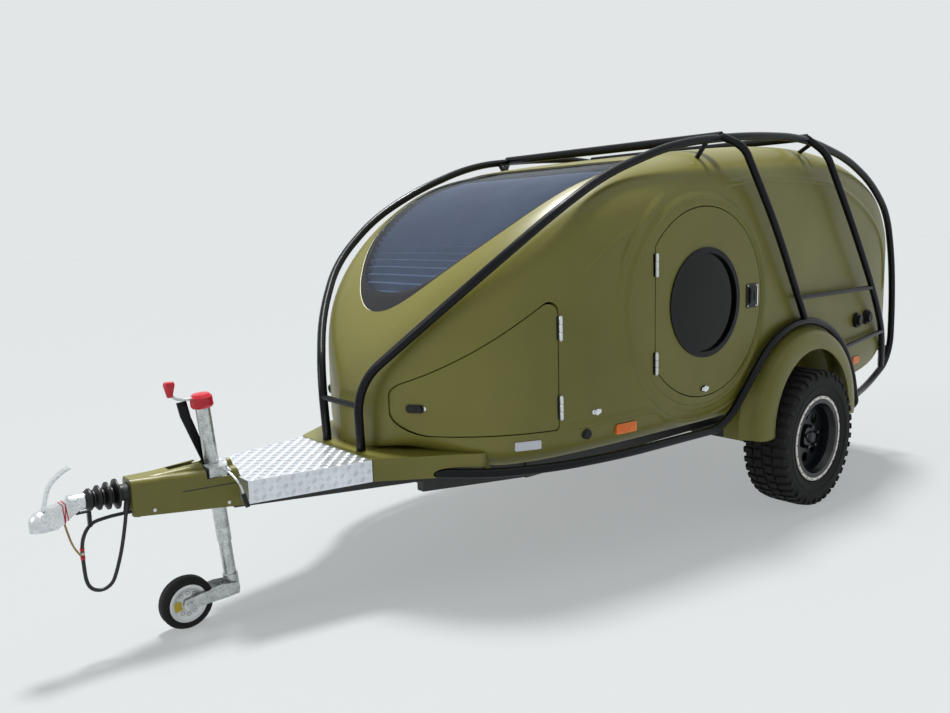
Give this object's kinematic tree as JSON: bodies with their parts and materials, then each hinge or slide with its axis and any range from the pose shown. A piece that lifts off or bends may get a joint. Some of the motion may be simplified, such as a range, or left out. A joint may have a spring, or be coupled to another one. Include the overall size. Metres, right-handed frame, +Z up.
{
  "type": "teardrop trailer",
  "caption": "Off-road teardrop camping trailer with a round door and nose hatch each side, bent roof window, tailgate, tubular outer frame, overrun hitch and jockey wheel.",
  "frame": {"origin": "on the ground, below the middle of the whole length and width", "axes": "+X towards the hitch, +Y to the trailer's left, +Z up"},
  "size_m": [4.86, 1.885, 1.898],
  "materials": {
    "body_paint": "satin olive paint",
    "window": "dark tint",
    "frame_black": "satin black powder coat",
    "chassis_black": "satin black",
    "tread_plate": "bright five-bar tread plate",
    "galvanised": "galvanised",
    "cast_grey": "cast",
    "soft_black": "matt",
    "tyre": "matt",
    "wheel_black": "gloss black",
    "plastic_black": "matt",
    "plastic_red": "gloss",
    "amber": "clear amber lens",
    "lens_white": "clear lens",
    "lens_red": "clear red lens",
    "board": "birch plywood",
    "cloth_grey": "woven",
    "blind": "pleated",
    "strap_tan": "woven",
    "chrome": "bright"
  },
  "bodies": {
    "trailer": {"axle": "chassis_black", "bellows": "soft_black", "body_left": "body_paint", "body_right": "body_paint", "breakaway_strap": "strap_tan", "cable_clip": "plastic_black", "chassis_frame": "chassis_black", "coupling_head": "galvanised", "coupling_lever": "galvanised", "cross_tubes": "frame_black", "electric_cable": "soft_black", "fender_left": "body_paint", "fender_right": "body_paint", "fixed_hinges": "frame_black", "front_window": "window", "galley_unit": "board", "handbrake_lever": "frame_black", "hatch_locks": "chrome", "hitch_cover": "body_paint", "jack_clamp": "galvanised", "jack_crank": "galvanised", "jack_grips": "plastic_red", "jack_tube": "galvanised", "marker_lamps": "amber", "mattress": "cloth_grey", "overrun_housing": "cast_grey", "reflectors": "lens_white", "side_frame_left": "frame_black", "side_frame_right": "frame_black", "side_sockets": "plastic_black", "storage_partition": "board", "tail_lamps": "lens_red", "toggle_grip": "plastic_black", "tread_plate_box": "tread_plate", "window_blind": "blind"},
    "wheel_left": {"wheel_left": "wheel_black", "tyre_left": "tyre"},
    "wheel_right": {"wheel_right": "wheel_black", "tyre_right": "tyre"},
    "jack_leg": {"jack_leg": "galvanised"},
    "jockey_fork": {"jockey_fork": "galvanised"},
    "jockey_wheel": {"jockey_rim": "galvanised", "jockey_tyre": "tyre"},
    "tailgate": {"tailgate": "body_paint", "tailgate_fittings": "plastic_black"},
    "door_left": {"door_left": "body_paint", "door_rim_left": "frame_black", "door_glass_left": "window", "door_fittings_left": "plastic_black"},
    "hatch_left": {"hatch_left": "body_paint", "hatch_fittings_left": "plastic_black"},
    "steady_left": {"steady_left": "galvanised"},
    "door_right": {"door_right": "body_paint", "door_rim_right": "frame_black", "door_glass_right": "window", "door_fittings_right": "plastic_black"},
    "hatch_right": {"hatch_right": "body_paint", "hatch_fittings_right": "plastic_black"},
    "steady_right": {"steady_right": "galvanised"}
  },
  "joints": [
    {"name": "wheel_left_spin", "type": "hinge", "parent": "trailer", "child": "wheel_left", "pos_m": [-1.025, 0.825, 0.355], "axis": [0, 1, 0], "continuous": true},
    {"name": "door_left_hinge", "type": "hinge", "parent": "trailer", "child": "door_left", "pos_m": [0.0875, 0.76715, 1.103], "axis": [0, 0, -1], "range_deg": [0, 100]},
    {"name": "hatch_left_hinge", "type": "hinge", "parent": "trailer", "child": "hatch_left", "pos_m": [0.5945, 0.68536, 0.9], "axis": [0, 0, 1], "range_deg": [0, 100]},
    {"name": "steady_left_swing", "type": "hinge", "parent": "trailer", "child": "steady_left", "pos_m": [-1.795, 0.545, 0.385], "axis": [0, -1, 0], "range_deg": [0, 80]},
    {"name": "wheel_right_spin", "type": "hinge", "parent": "trailer", "child": "wheel_right", "pos_m": [-1.025, -0.825, 0.355], "axis": [0, 1, 0], "continuous": true},
    {"name": "door_right_hinge", "type": "hinge", "parent": "trailer", "child": "door_right", "pos_m": [0.0875, -0.76715, 1.103], "axis": [0, 0, 1], "range_deg": [0, 100]},
    {"name": "hatch_right_hinge", "type": "hinge", "parent": "trailer", "child": "hatch_right", "pos_m": [0.5945, -0.68536, 0.9], "axis": [0, 0, -1], "range_deg": [0, 100]},
    {"name": "steady_right_swing", "type": "hinge", "parent": "trailer", "child": "steady_right", "pos_m": [-1.795, -0.545, 0.385], "axis": [0, -1, 0], "range_deg": [0, 80]},
    {"name": "tailgate_hinge", "type": "hinge", "parent": "trailer", "child": "tailgate", "pos_m": [-1.9025, 0, 1.74002], "axis": [0, 1, 0], "range_deg": [0, 75]},
    {"name": "jack_slide", "type": "slide", "parent": "trailer", "child": "jack_leg", "axis": [0.0872, 0, 0.9962], "range_m": [0, 0.13]},
    {"name": "jockey_swivel", "type": "hinge", "parent": "jack_leg", "child": "jockey_fork", "pos_m": [1.746, 0, 0.118], "axis": [0.0872, 0, 0.9962], "continuous": true},
    {"name": "jockey_wheel_spin", "type": "hinge", "parent": "jockey_fork", "child": "jockey_wheel", "pos_m": [1.929, 0, 0.1], "axis": [0, 1, 0], "continuous": true}
  ]
}
